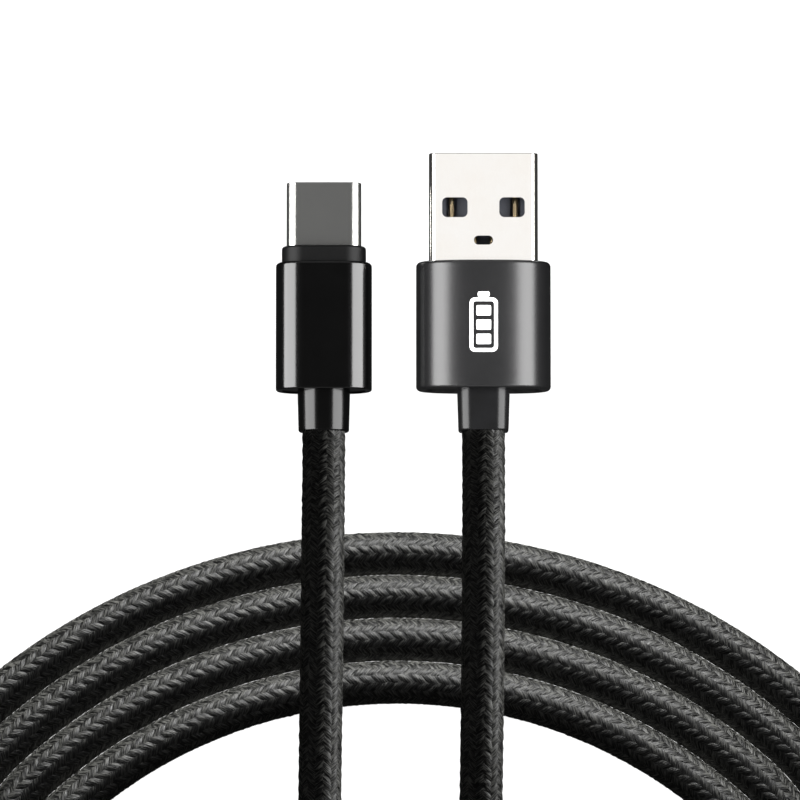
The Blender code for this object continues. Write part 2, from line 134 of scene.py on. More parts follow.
class Finish:
    # a material with one Principled shader, and a method that adds any node
    def __init__(self, name, **fixed):
        self.material = bpy.data.materials.new(name)
        self.material.use_nodes = True
        self.tree = self.material.node_tree
        self.tree.nodes.clear()
        self.principled = self.tree.nodes.new("ShaderNodeBsdfPrincipled")
        output = self.tree.nodes.new("ShaderNodeOutputMaterial")
        self.tree.links.new(self.principled.outputs["BSDF"], output.inputs["Surface"])
        self.set(fixed)

    def set(self, sockets):
        for name, value in sockets.items():
            self.plug(self.principled.inputs[name], value)

    def plug(self, socket, value):
        if isinstance(value, Strand):
            self.tree.links.new(value.socket, socket)
        elif socket.type == "RGBA":
            socket.default_value = (*value, 1.0)
        else:
            socket.default_value = value

    def node(self, kind, settings=None, sockets=None, output=0):
        made = self.tree.nodes.new(kind)
        for name, value in (settings or {}).items():
            setattr(made, name, value)
        for name, value in (sockets or {}).items():
            self.plug(made.inputs[name], value)
        return Strand(self, made.outputs[output])

    def place(self, scale=(1.0, 1.0, 1.0)):
        at = self.node("ShaderNodeTexCoord", output="Object")
        return self.node("ShaderNodeMapping", {}, {"Vector": at, "Scale": scale})

    def noise(self, where, scale, detail, rough):
        return self.node("ShaderNodeTexNoise", {}, {"Vector": where, "Scale": scale, "Detail": detail,
                                                    "Roughness": rough})

    def between(self, value, low, high, newLow=0.0, newHigh=1.0):
        return self.node("ShaderNodeMapRange", {"clamp": True},
                         {"Value": value, "From Min": low, "From Max": high,
                          "To Min": newLow, "To Max": newHigh})

    def mixed(self, factor, first, second):
        return self.node("ShaderNodeMix", {"data_type": "RGBA"},
                         {"Factor": factor, 6: first, 7: second}, output=2)

    def bump(self, height, distance, strength=1.0):
        return self.node("ShaderNodeBump", {}, {"Height": height, "Distance": distance,
                                                "Strength": strength})


cableFigures = {
    "diameter": 0.0046,
    "coreRadius": 0.00188,    # the smooth core under the braid
    "coreSides": 16,
    "turnPitch": 0.00474,
    "turns": 4,
    "coilHeight": 0.00245,    # centre of the turns above the table
    "carriers": 16,    # columns of stitches round the cable
    "stitchLength": 0.00141,
    "stitchRows": 4,    # rows of points in one stitch
    "columnPlaces": (-0.5, -0.2, 0.2),    # across a column: its edge, then two points inside it
    "crownRadius": 0.00239,    # from the cable's middle to the top of a stitch
    "grooveDepth": 0.00016,
    "edgeShare": 0.75,    # a column's edge lies this share of a groove's depth down
    "endDepth": 0.00007,    # how far a stitch's two ends dip
    "shoulderDepth": 0.00004,    # between a stitch's crown and its groove
    "shoulderShift": 0.07,    # how far the shoulders draw in towards the groove, in stitches
    "endReach": 0.10,    # how far a stitch's tongue runs into the next column, in columns
    "unevenness": 0.000014,
    "seed": 11,
    "patternWidth": 0.98,    # of a column, so that each stitch's fibres stay its own
    "smoothSteps": 12,    # steps of the smooth curve between two points of the route
    "hidden": 0.0016,    # how far the braid goes on inside each strain relief
    "firstAngle": 5.5,    # degrees from the top to the middle of the first column
    "tailStitches": 36,    # rows of stitches in each straight end of the braid
}
coilFigures = {
    "middleX": -0.00176,
    "topMiddleY": -0.0973,
    "topRadius": 0.0686,
    "topHalfAngle": math.radians(42),
    "cornerRadius": 0.0290,
    "bottomHalfAngle": math.radians(25),
    "degrees": (-50, 1300, 3),    # first, last and step of the outward direction along the turns
    "turnStart": -45,    # where each turn is counted from
    "moveOut": (270, 90),    # degrees into a turn where it starts to move out, and over how many
}
wideTailRoute = [
    (0.00774, -0.0172, 0.00380), (0.00774, -0.0202, 0.00428), (0.00773, -0.0232, 0.00535),
    (0.00772, -0.0260, 0.00648), (0.00770, -0.0287, 0.00712), (0.00768, -0.0325, 0.00715),
    (0.00762, -0.0390, 0.00715), (0.00756, -0.0450, 0.00715), (0.00748, -0.0505, 0.00650),
    (0.00742, -0.0560, 0.00500), (0.00746, -0.0612, 0.00335), (0.00800, -0.0668, 0.00248),
    (0.00950, -0.0724, 0.00240), (0.01265, -0.0779, 0.00240), (0.0193, -0.0823, 0.00240),
    (0.0250, -0.0827, 0.00240), (0.0302, -0.0810, 0.00240),
]
ovalTailRoute = [
    (-0.00986, -0.0170, 0.00330), (-0.00986, -0.0199, 0.00385), (-0.00988, -0.0229, 0.00510),
    (-0.00990, -0.0258, 0.00642), (-0.00992, -0.0286, 0.00712), (-0.00995, -0.0325, 0.00715),
    (-0.01002, -0.0390, 0.00715), (-0.01010, -0.0450, 0.00715), (-0.01018, -0.0510, 0.00668),
    (-0.01024, -0.0570, 0.00610), (-0.01022, -0.0630, 0.00585), (-0.01020, -0.0690, 0.00615),
    (-0.01070, -0.0750, 0.00678), (-0.01200, -0.0795, 0.00714), (-0.01480, -0.0852, 0.00715),
    (-0.01900, -0.0905, 0.00715), (-0.02110, -0.0920, 0.00715), (-0.0270, -0.0944, 0.0066),
    (-0.0335, -0.0951, 0.0052), (-0.0400, -0.0938, 0.0034), (-0.0453, -0.0909, 0.00245),
]


def coilPoint(angle, inset):
    # a point of the flat D-shaped ring; angle is its outward direction
    arm = coilFigures["topRadius"] - coilFigures["cornerRadius"]
    cornerX = arm * math.sin(coilFigures["topHalfAngle"])
    cornerY = coilFigures["topMiddleY"] + arm * math.cos(coilFigures["topHalfAngle"])
    bottomArm = cornerX / math.sin(coilFigures["bottomHalfAngle"])
    fromTop = abs(math.remainder(angle - math.pi / 2, 2 * math.pi))
    if fromTop <= coilFigures["topHalfAngle"]:
        middle = (0.0, coilFigures["topMiddleY"])
        radius = coilFigures["topRadius"]
    elif math.pi - fromTop <= coilFigures["bottomHalfAngle"]:
        middle = (0.0, cornerY + bottomArm * math.cos(coilFigures["bottomHalfAngle"]))
        radius = coilFigures["cornerRadius"] + bottomArm
    else:
        middle = (math.copysign(cornerX, math.cos(angle)), cornerY)
        radius = coilFigures["cornerRadius"]
    radius -= inset
    return Vector((coilFigures["middleX"] + middle[0] + radius * math.cos(angle),
                   middle[1] + radius * math.sin(angle), cableFigures["coilHeight"]))


def coilRoute():
    # from the inmost turn out; each turn moves out one pitch along the bottom
    points = []
    first, last, gap = coilFigures["degrees"]
    start, over = coilFigures["moveOut"]
    for degrees in range(first, last + 1, gap):
        turn, along = divmod(degrees - coilFigures["turnStart"], 360)
        step = min(max((along - start) / over, 0.0), 1.0)
        step = step * step * (3 - 2 * step)
        inset = (cableFigures["turns"] - 1 - turn - step) * cableFigures["turnPitch"]
        points.append(coilPoint(math.radians(degrees), inset))
    return points


def smoothRoute(points, pieces):
    # a curve through all the points
    points = [Vector(p) for p in points]
    ends = [points[0] * 2 - points[1]] + points + [points[-1] * 2 - points[-2]]
    route = []
    for a, b, c, d in zip(ends, ends[1:], ends[2:], ends[3:]):
        for step in range(pieces):
            t = step / pieces
            route.append(0.5 * ((2 * b) + (c - a) * t + (2 * a - 5 * b + 4 * c - d) * t * t
                                + (3 * b - a - 3 * c + d) * t * t * t))
    return route + [points[-1]]


def evenRoute(points, step):
    # the same route with its points a fixed step apart
    line = np.array([tuple(p) for p in points])
    along = np.concatenate([[0.0], np.cumsum(np.linalg.norm(np.diff(line, axis=0), axis=1))])
    count = max(2, round(along[-1] / step))
    at = np.linspace(0.0, along[-1], count + 1)
    return np.stack([np.interp(at, along, line[:, k]) for k in range(3)], axis=1), along[-1]


def framesAlong(line):
    # two directions across the route at each point, carried along without twist
    tangents = np.gradient(line, axis=0)
    tangents /= np.linalg.norm(tangents, axis=1)[:, None]
    up = np.array((0.0, 0.0, 1.0))
    ups, sides = [], []
    for tangent in tangents:
        up = up - tangent * up.dot(tangent)
        up /= np.linalg.norm(up)
        ups.append(up)
        sides.append(np.cross(tangent, up))
    return np.array(ups), np.array(sides)


def newPiece(name, vertices, faces):
    mesh = bpy.data.meshes.new(name)
    mesh.from_pydata(vertices, [], faces)
    mesh.update()
    piece = bpy.data.objects.new(name, mesh)
    bpy.context.scene.collection.objects.link(piece)
    return piece


def cableJacket(line):
    # the smooth core that the braid is worked over, closed at both ends
    around = cableFigures["coreSides"]
    thin = line[::2] if (len(line) - 1) % 2 == 0 else np.vstack([line[:-1:2], line[-1:]])
    ups, sides = framesAlong(thin)
    angles = np.arange(around) * 2 * math.pi / around
    ring = ups[:, None] * np.cos(angles)[None, :, None] + sides[:, None] * np.sin(angles)[None, :, None]
    vertices = (thin[:, None] + ring * cableFigures["coreRadius"]).reshape(-1, 3)
    faces = []
    for row in range(len(thin) - 1):
        for k in range(around):
            a = row * around + k
            b = row * around + (k + 1) % around
            faces.append((a, b, b + around, a + around))
    last = (len(thin) - 1) * around
    faces.append(tuple(range(around))[::-1])
    faces.append(tuple(last + k for k in range(around)))
    piece = newPiece("cable_jacket", vertices.tolist(), faces)
    bpy.context.view_layer.objects.active = piece
    piece.select_set(True)
    bpy.ops.object.shade_smooth_by_angle(angle=math.radians(40))
    piece.select_set(False)
    return piece


def slantOf(column):
    # neighbouring columns slant opposite ways
    return 1 if column % 2 == 0 else -1


def stitchLattice():
    # one stitch's rows of points: how far along, round and outwards each one lies
    figures = cableFigures
    places = figures["columnPlaces"]
    rows = figures["stitchRows"]
    count = figures["carriers"] * len(places)
    along = np.zeros((rows, count))
    around = np.zeros((rows, count))
    outward = np.zeros((rows, count))
    squeezes = {1: -figures["shoulderShift"], 3: figures["shoulderShift"]}
    depths = {0: figures["grooveDepth"], 2: 0.0}
    for ring in range(count):
        column, place = divmod(ring, len(places))
        slant = slantOf(column)
        for row in range(rows):
            part = (row + (0 if slant > 0 else 2)) % rows    # 0 is the groove, 2 the stitch's crown
            if place == 0:
                tongue = slant * round(math.cos(math.pi * row / 2))
                q = places[0] + tongue * figures["endReach"]
                along[row, ring] = row / rows - 0.25 * slant
                depth = figures["endDepth"] if tongue else figures["edgeShare"] * figures["grooveDepth"]
            else:
                q = places[place]
                along[row, ring] = row / rows + 0.5 * slant * q + squeezes.get(part, 0.0)
                depth = depths.get(part, figures["shoulderDepth"])
            outward[row, ring] = -depth
            around[row, ring] = column + q
    return along, around, outward


def braidGrid(firstStitch, lastStitch):
    # the stitch's points repeated down the length, closed by the next stitch's first row
    along, around, outward = stitchLattice()
    stitches = np.arange(firstStitch, lastStitch)
    alongAll = (stitches[:, None, None] + along[None]).reshape(-1, along.shape[1])
    alongAll = np.vstack([alongAll, along[:1] + lastStitch])
    aroundAll = np.vstack([np.tile(around, (len(stitches), 1)), around[:1]])
    outwardAll = np.vstack([np.tile(outward, (len(stitches), 1)), outward[:1]])
    uneven = np.random.RandomState(cableFigures["seed"] + firstStitch)
    outwardAll = outwardAll + uneven.normal(0.0, cableFigures["unevenness"], outwardAll.shape)
    return alongAll, aroundAll, outwardAll


def braidPoints(line, along, around, outward):
    # the grid wrapped round the route; also the route's middle at each point
    ups, sides = framesAlong(line)
    step = float(np.linalg.norm(line[1] - line[0]))
    distance = np.clip(along * cableFigures["stitchLength"], 0.0, step * (len(line) - 1))
    at = distance.reshape(-1) / step
    index = np.arange(len(line))
    centres, up, side = [np.stack([np.interp(at, index, values[:, k]) for k in range(3)], axis=1)
                         for values in (line, ups, sides)]
    angle = (around * 2 * math.pi / cableFigures["carriers"]).reshape(-1)
    angle = angle + math.radians(cableFigures["firstAngle"])
    radius = (outward + cableFigures["crownRadius"]).reshape(-1)
    out = up * np.cos(angle)[:, None] + side * np.sin(angle)[:, None]
    return centres + out * radius[:, None], centres


def braidFaces(along, around):
    # the grid's faces, with each corner's place in the weave's own pattern
    carriers = cableFigures["carriers"]
    rowCount, count = along.shape
    faces = []
    weave = []
    for row in range(rowCount - 1):
        for ring in range(count):
            after = (ring + 1) % count
            faces.append((row * count + ring, row * count + after,
                          (row + 1) * count + after, (row + 1) * count + ring))
            column = ring * carriers // count
            slant = slantOf(column)
            shift = 0.0 if slant > 0 else 0.5
            for r, k in ((row, ring), (row, after), (row + 1, after), (row + 1, ring)):
                q = around[r, k] - column
                if q > carriers / 2:
                    q -= carriers
                if q < -carriers / 2:
                    q += carriers
                weave.append((along[r, k] - 0.5 * slant * q + shift,
                              column + 0.5 + q * cableFigures["patternWidth"]))
    return faces, weave


def sharpenGrooves(mesh, count):
    # sharp edges down the columns' sides and across the grooves, smooth elsewhere
    carriers = cableFigures["carriers"]
    rows = cableFigures["stitchRows"]
    inColumn = count // carriers
    pairs = np.zeros(len(mesh.edges) * 2, np.int32)
    mesh.edges.foreach_get("vertices", pairs)
    low, high = pairs.reshape(-1, 2).min(1), pairs.reshape(-1, 2).max(1)
    row1, ring1, row2, ring2 = low // count, low % count, high // count, high % count
    columnSide = (ring1 == ring2) & (ring1 % inColumn == 0)
    wraps = (row1 == row2) & (ring1 == 0) & (ring2 == count - 1)
    column = np.where(wraps, carriers - 1, ring1 // inColumn)
    groove = (row1 == row2) & ((row1 + np.where(column % 2 == 0, 0, 2)) % rows == 0)
    mesh.shade_smooth()
    mesh.edges.foreach_set("use_edge_sharp", columnSide | groove)
    mesh.update()


def braidPiece(name, line, firstStitch, lastStitch):
    # a length of the woven cover: columns of stitches that slant to and fro
    along, around, outward = braidGrid(firstStitch, lastStitch)
    rowCount, count = along.shape
    vertices, centres = braidPoints(line, along, around, outward)
    faces, weave = braidFaces(along, around)
    vertices = np.vstack([vertices, line[:1] if firstStitch == 0 else centres[:1], centres[-1:]])
    firstEnd, lastEnd = len(vertices) - 2, len(vertices) - 1
    last = (rowCount - 1) * count
    for ring in range(count):
        after = (ring + 1) % count
        faces.append((after, ring, firstEnd))
        faces.append((last + ring, last + after, lastEnd))
        weave.extend([(0.0, 0.0)] * 6)
    piece = newPiece(name, vertices.tolist(), faces)
    layer = piece.data.uv_layers.new(name="weave")
    layer.data.foreach_set("uv", np.array(weave, np.float32).reshape(-1))
    sharpenGrooves(piece.data, count)
    return piece


yarnFigures = {
    "gap": (0.0006, 0.0006, 0.0005),    # painted shade in the grooves between stitches and between fibres
    "darkFibre": (0.002, 0.002, 0.0018),
    "paleFibre": (0.160, 0.160, 0.147),
    "fibresAcross": 5.0,    # fibres that can be told apart in one stitch
    "paleFrom": 0.47,    # of the fibres' noise: where pale ones start, and where they are full
    "paleFull": 0.575,
    "grooveShadeEdge": 0.43,    # where the painted groove shade starts, as a stitch falls into its groove; its edge is 0.5
    "fibreRelief": 0.00009,
    "shine": 0.45,
    "roughness": (0.38, 0.58),
}


def braidFinish():
    # bundles of fine dark fibres; pale ones stand out where the light catches them; the grooves between
    # stitches carry painted shade
    finish = Finish("braided_yarn")
    weave = finish.node("ShaderNodeUVMap", {"uv_map": "weave"})
    across = finish.node("ShaderNodeSeparateXYZ", {}, {"Vector": weave})

    def streaks(scale, detail):
        at = finish.node("ShaderNodeVectorMath", {"operation": "MULTIPLY"}, {0: weave, 1: scale})
        return finish.noise(at, 1.0, detail, 0.6)

    count = yarnFigures["fibresAcross"]
    fibres = streaks((count * 1.3, 0.7, 1.0), 1.0)
    fine = streaks((count * 3.1, 1.6, 1.0), 1.0)
    patches = streaks((0.8, 0.8, 1.0), 2.0)
    inStitch = abs(across % 1.0 - 0.5)    # 0 along the stitch's middle, 0.5 in its grooves
    # painted shade: the grooves between stitches take the near-black gap colour
    outsideGrooveShade = finish.between(inStitch, 0.5, yarnFigures["grooveShadeEdge"])
    pale = finish.between(fibres * 0.55 + fine * 0.45, yarnFigures["paleFrom"], yarnFigures["paleFull"])
    colour = finish.mixed(pale * finish.between(patches, 0.25, 0.6, 0.55, 1.0),
                          yarnFigures["darkFibre"], yarnFigures["paleFibre"])
    finish.set({
        # the gap colour mixed in here is painted shade in the grooves
        "Base Color": finish.mixed(outsideGrooveShade, yarnFigures["gap"], colour),
        "Roughness": finish.between(fine, 0.3, 0.7, *yarnFigures["roughness"]),
        "Specular IOR Level": yarnFigures["shine"],
        "Normal": finish.bump(fibres * 0.6 + fine * 0.4, yarnFigures["fibreRelief"]),
    })
    return finish.material


def jacketFinish():
    finish = Finish("jacket_rubber", Roughness=0.7)
    grain = finish.noise(finish.place(), 9000.0, 3.0, 0.6)
    finish.set({
        "Base Color": finish.mixed(grain, (0.004, 0.004, 0.004), (0.012, 0.012, 0.012)),
        "Normal": finish.bump(grain, 0.00003),
    })
    return finish.material


wideEnd = (wideX, tailStart, wideZ)
ovalEnd = (ovalX, tailStart, ovalZ)
routeStep = cableFigures["stitchLength"] / 4
wholeRoute = [wideEnd] + wideTailRoute + [tuple(p) for p in coilRoute()] + ovalTailRoute[::-1] + [ovalEnd]
smoothLine = smoothRoute(wholeRoute, cableFigures["smoothSteps"])
cableLine, cableLength = evenRoute(smoothLine, routeStep)
jacket = cableJacket(cableLine)
jacket.data.materials.append(jacketFinish())
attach(jacket, plugBody)
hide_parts("cable_coil", "cable_tail_wide", "cable_tail_oval")
insideWide = Vector(wideEnd) + Vector((0.0, cableFigures["hidden"], 0.0))
insideOval = Vector(ovalEnd) + Vector((0.0, cableFigures["hidden"], 0.0))
braidLine, braidLength = evenRoute([insideWide] + smoothLine + [insideOval], routeStep)
allStitches = int(braidLength / cableFigures["stitchLength"])
braids = []
yarn = braidFinish()
tail = cableFigures["tailStitches"]
for name, first, last in (("cable_braid_wide_tail", 0, tail),
                          ("cable_braid_inner_turns", tail, allStitches // 2),
                          ("cable_braid_outer_turns", allStitches // 2, allStitches - tail),
                          ("cable_braid_oval_tail", allStitches - tail, allStitches)):
    braid = braidPiece(name, braidLine, first, last)
    braid.data.materials.append(yarn)
    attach(braid, plugBody)
    braids.append(braid)
print("cable made:", round(float(cableLength), 3), "m,", allStitches, "rows of stitches")


def choose(piece, kind, test):
    # selects the faces, edges or points that pass the test, in edit mode
    bpy.ops.object.select_all(action="DESELECT")
    bpy.context.view_layer.objects.active = piece
    piece.select_set(True)
    bpy.ops.object.mode_set(mode="EDIT")
    bpy.ops.mesh.select_mode(type=kind)
    bpy.ops.mesh.select_all(action="DESELECT")
    mesh = bmesh.from_edit_mesh(piece.data)
    for item in {"FACE": mesh.faces, "EDGE": mesh.edges, "VERT": mesh.verts}[kind]:
        if test(item):
            item.select_set(True)
    mesh.select_flush_mode()
    bmesh.update_edit_mesh(piece.data)


def leaveEdit():
    bpy.ops.mesh.select_all(action="SELECT")
    bpy.ops.mesh.normals_make_consistent(inside=False)
    bpy.ops.mesh.select_all(action="DESELECT")
    bpy.ops.object.mode_set(mode="OBJECT")


def isAt(vertex, y):
    return abs(vertex.co.y - y) < 1e-6


def throughCut(x, z, width, height, low, high, corner, profile, steps):
    # a bar for cutting a tube's inside, a little longer than the piece between low and high
    over = 0.001
    return barAlong("inside", x, z, width, height, low.y - over, high.y + over, corner, profile, steps)


def flatPlate(name, middle, width, height, corner, profile, steps, upright):
    # a rounded rectangle, one face; upright ones look along Y
    bpy.ops.object.select_all(action="DESELECT")
    bpy.ops.mesh.primitive_plane_add(size=1.0, location=middle,
                                     rotation=(math.pi / 2 if upright else 0.0, 0.0, 0.0))
    piece = bpy.context.object
    piece.name = name
    piece.data.name = name
    piece.scale = (width, height, 1.0)
    bpy.ops.object.transform_apply(location=True, rotation=True, scale=True)
    choose(piece, "VERT", lambda v: True)
    bpy.ops.mesh.bevel(offset=corner, segments=steps, profile=profile, affect="VERTICES")
    bpy.ops.object.mode_set(mode="OBJECT")
    return piece


def crownedPlate(name, middle, width, height, fullness, steps):
    # one face whose outline curves all the way round, flatter in the middle of each side
    bpy.ops.object.select_all(action="DESELECT")
    bpy.ops.mesh.primitive_plane_add(size=1.0, location=(0.0, 0.0, 0.0))
    piece = bpy.context.object
    piece.name = name
    piece.data.name = name
    choose(piece, "VERT", lambda v: True)
    almostHalf = 0.4999    # the four corners nearly meet, and their last points are merged
    bpy.ops.mesh.bevel(offset=almostHalf, segments=steps, profile=fullness, affect="VERTICES")
    bpy.ops.mesh.select_all(action="SELECT")
    bpy.ops.mesh.remove_doubles(threshold=0.001)
    bpy.ops.object.mode_set(mode="OBJECT")
    piece.scale = (width, height, 1.0)
    piece.rotation_euler = (math.pi / 2, 0.0, 0.0)
    piece.location = middle
    bpy.ops.object.transform_apply(location=True, rotation=True, scale=True)
    return piece


def barAlong(name, x, z, width, height, rear, front, corner, profile, steps):
    # a bar along Y with a rounded section; no corner means a section that curves all round
    if corner is None:
        piece = crownedPlate(name, (x, rear, z), width, height, profile, steps * 2)
    else:
        piece = flatPlate(name, (x, rear, z), width, height, corner, profile, steps, True)
    choose(piece, "FACE", lambda f: True)
    bpy.ops.mesh.extrude_region_move(TRANSFORM_OT_translate={"value": (0.0, front - rear, 0.0)})
    leaveEdit()
    return piece


def slabUp(name, x, y, width, depth, low, high, corner, steps=6):
    # a flat slab with rounded corners
    piece = flatPlate(name, (x, y, low), width, depth, corner, 0.5, steps, False)
    choose(piece, "FACE", lambda f: True)
    bpy.ops.mesh.extrude_region_move(TRANSFORM_OT_translate={"value": (0.0, 0.0, high - low)})
    leaveEdit()
    return piece


def roundRim(piece, y, size, steps):
    # rounds the edge of a bar's end
    choose(piece, "EDGE", lambda e: all(isAt(v, y) for v in e.verts))
    bpy.ops.mesh.bevel(offset=size, segments=steps, profile=0.5, affect="EDGES", clamp_overlap=False)
    leaveEdit()


def cutAway(piece, cutters):
    # takes each cutter's shape out of the piece
    for cutter in cutters:
        bpy.ops.object.select_all(action="DESELECT")
        bpy.context.view_layer.objects.active = piece
        piece.select_set(True)
        cut = piece.modifiers.new("cut", "BOOLEAN")
        cut.operation = "DIFFERENCE"
        cut.solver = "EXACT"
        cut.object = cutter
        bpy.ops.object.modifier_apply(modifier="cut")
        bpy.data.objects.remove(cutter)


def joinPieces(name, pieces):
    bpy.ops.object.select_all(action="DESELECT")
    for piece in pieces:
        piece.select_set(True)
    bpy.context.view_layer.objects.active = pieces[0]
    bpy.ops.object.join()
    pieces[0].name = name
    pieces[0].data.name = name
    return pieces[0]


def settle(piece, material, replaced=None):
    # smooths a finished piece, keeps its flats flat, and puts it on the plugs' body
    bpy.ops.object.select_all(action="DESELECT")
    bpy.context.view_layer.objects.active = piece
    piece.select_set(True)
    bpy.ops.object.shade_smooth_by_angle(angle=math.radians(32))
    weighted = piece.modifiers.new("flats", "WEIGHTED_NORMAL")
    weighted.keep_sharp = True
    bpy.ops.object.modifier_apply(modifier="flats")
    piece.select_set(False)
    piece.data.materials.clear()
    piece.data.materials.append(material)
    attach(piece, plugBody)
    if replaced:
        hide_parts(replaced)
    return piece


def metalFinish(name, light, dark, rough, blotch, grainDepth):
    # plated metal with faint cloudy patches and fine lengthwise polish lines
    finish = Finish(name, Metallic=1.0)
    clouds = finish.noise(finish.place(), 260.0, 3.0, 0.55)
    drawnOut = 9.0    # how much longer a polish line is than it is wide
    lines = finish.noise(finish.place(scale=(1.0, 1.0 / drawnOut, 1.0)), 9000.0, 2.0, 0.6)
    tone = finish.between(clouds, 0.3, 0.7) * blotch + finish.between(lines, 0.3, 0.7) * 0.15
    finish.set({
        "Base Color": finish.mixed(tone, light, dark),
        "Roughness": finish.between(clouds, 0.3, 0.7, rough * 0.98, rough * 1.02),
        "Normal": finish.bump(lines, grainDepth, 0.5),
    })
    return finish.material


def plasticFinish(name, light, dark, rough, grainScale, grainDepth, specular=0.5):
    # moulded or coated surface: fine grain, slight cloudiness
    finish = Finish(name)
    grain = finish.noise(finish.place(), grainScale, 3.0, 0.6)
    clouds = finish.noise(finish.place(), 300.0, 2.0, 0.5)
    finish.set({
        "Base Color": finish.mixed(finish.between(clouds, 0.3, 0.7), light, dark),
        "Roughness": finish.between(grain, 0.3, 0.7, rough * 0.92, rough * 1.08),
        "Specular IOR Level": specular,
        "Normal": finish.bump(grain, grainDepth, 0.6),
    })
    return finish.material


# light and dark tone, roughness, blotchiness, depth of the polish lines
nickel = metalFinish("satin_nickel", (0.95, 0.93, 0.90), (0.91, 0.87, 0.82), 0.21, 0.6, 0.000002)
steel = metalFinish("satin_steel", (0.58, 0.58, 0.56), (0.47, 0.47, 0.46), 0.25, 0.8, 0.000005)
springSteel = metalFinish("spring_steel", (0.62, 0.61, 0.60), (0.5, 0.5, 0.49), 0.28, 0.4, 0.000003)
gold = metalFinish("gold_plate", (0.50, 0.40, 0.25), (0.34, 0.27, 0.17), 0.20, 0.5, 0.0000004)
brass = metalFinish("dull_brass", (0.60, 0.46, 0.22), (0.42, 0.31, 0.15), 0.38, 0.7, 0.000003)
# light and dark tone, roughness, fineness and depth of the grain
greyCoat = plasticFinish("grey_anodised", (0.013, 0.013, 0.0135), (0.010, 0.010, 0.0105),
                         0.25, 14000.0, 0.0000012, specular=0.8)
blackCoat = plasticFinish("black_gloss_coat", (0.0008, 0.0008, 0.0008), (0.0005, 0.0005, 0.0005),
                          0.165, 12000.0, 0.0000008, specular=0.6)
blackPlastic = plasticFinish("black_plastic", (0.012, 0.012, 0.012), (0.007, 0.007, 0.007),
                             0.42, 7000.0, 0.000004)
reliefRubber = plasticFinish("relief_rubber", (0.006, 0.006, 0.0065), (0.004, 0.004, 0.004),
                             0.25, 9000.0, 0.000003, specular=0.3)
reliefGloss = plasticFinish("relief_gloss", (0.0008, 0.0008, 0.0008), (0.0005, 0.0005, 0.0005),
                            0.19, 9000.0, 0.000002, specular=0.35)
charcoal = plasticFinish("charcoal_texture", (0.002, 0.002, 0.0021), (0.0012, 0.0012, 0.0012),
                         0.44, 5200.0, 0.000022, specular=0.12)
carrier = plasticFinish("contact_carrier", (0.105, 0.110, 0.130), (0.070, 0.074, 0.090),
                        0.40, 5000.0, 0.000003)
moulding = plasticFinish("natural_moulding", (0.55, 0.53, 0.46), (0.46, 0.44, 0.38),
                         0.48, 3000.0, 0.000006)
boardMask = plasticFinish("board_mask", (0.012, 0.11, 0.045), (0.008, 0.075, 0.030),
                          0.32, 2500.0, 0.000004)
chipBody = plasticFinish("chip_body", (0.02, 0.02, 0.02), (0.012, 0.012, 0.012), 0.45, 5000.0, 0.000003)
coreJacket = plasticFinish("core_jacket", (0.02, 0.02, 0.02), (0.012, 0.012, 0.012), 0.55, 5000.0, 0.000006)
whiteInk = plasticFinish("white_ink", (0.92, 0.92, 0.92), (0.86, 0.86, 0.86), 0.5, 6000.0, 0.000003)
wireFinishes = {
    "wire_" + colour: plasticFinish("wire_" + colour, light, dark, 0.38, 4000.0, 0.000003)
    for colour, light, dark in (("red", (0.50, 0.02, 0.02), (0.36, 0.012, 0.012)),
                                ("white", (0.78, 0.77, 0.73), (0.66, 0.65, 0.61)),
                                ("green", (0.02, 0.27, 0.07), (0.012, 0.18, 0.045)),
                                ("black", (0.02, 0.02, 0.02), (0.012, 0.012, 0.012)))
}
slotFinishes = {
    "nickel_shield": nickel, "steel_shield": steel, "spring_steel": springSteel, "gold_contact": gold,
    "brass_ring": brass, "grey_sleeve": greyCoat, "black_sleeve": blackCoat, "black_plastic": blackPlastic,
    "black_relief": reliefRubber, "charcoal_collar": charcoal, "contact_carrier": carrier,
    "natural_mould": moulding, "green_board": boardMask, "resistor_body": chipBody,
    "cable_jacket": coreJacket, "braided_cable": yarn, **wireFinishes,
}
for solid in frame["nodes"].values():    # every solid that stays gets its real finish
    for slotOfSolid in solid.material_slots:
        slotOfSolid.material = slotFinishes[slotOfSolid.material.name.split(".")[0]]
print("finishes made:", len(slotFinishes))


widePlug = {
    "sleeveCorner": None, "sleeveProfile": 0.60,    # the whole section is crowned; how full it is
    "sleeveRim": 0.00045, "rearRim": 0.00040,
    "wall": 0.0011,
    "shellCorner": 0.00075, "shellWall": 0.0003, "shellRim": 0.0001,
    "window": (0.0028, 0.0022), "windowCorner": 0.00055, "windowX": 0.00315, "windowBack": 0.00605,
    "hole": (0.0021, 0.0010), "holeCorner": 0.00049, "holeBack": 0.0097,
    "relief": (0.00584, 0.0054), "reliefCorner": 0.0016, "reliefTaper": 0.945,
    "reliefRim": 0.00022, "flangeRim": 0.00018, "flangeIn": 0.00018, "flangeCorner": None,
    "contactWidth": 0.00062, "contactRim": 0.00006,
}


def sleevePiece(name, node, x, z, figures):
    # the metal cover: an open tube of rounded section with softened rims
    low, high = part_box(node)
    corner, wall, profile = figures["sleeveCorner"], figures["wall"], figures["sleeveProfile"]
    piece = barAlong(name, x, z, high.x - low.x, high.z - low.z, low.y, high.y, corner, profile, 14)
    roundRim(piece, high.y, figures["sleeveRim"], 5)
    roundRim(piece, low.y, figures["rearRim"], 5)
    innerCorner = None if corner is None else corner - wall
    cutAway(piece, [throughCut(x, z, high.x - low.x - 2 * wall, high.z - low.z - 2 * wall,
                               low, high, innerCorner, profile, 14)])
    return piece


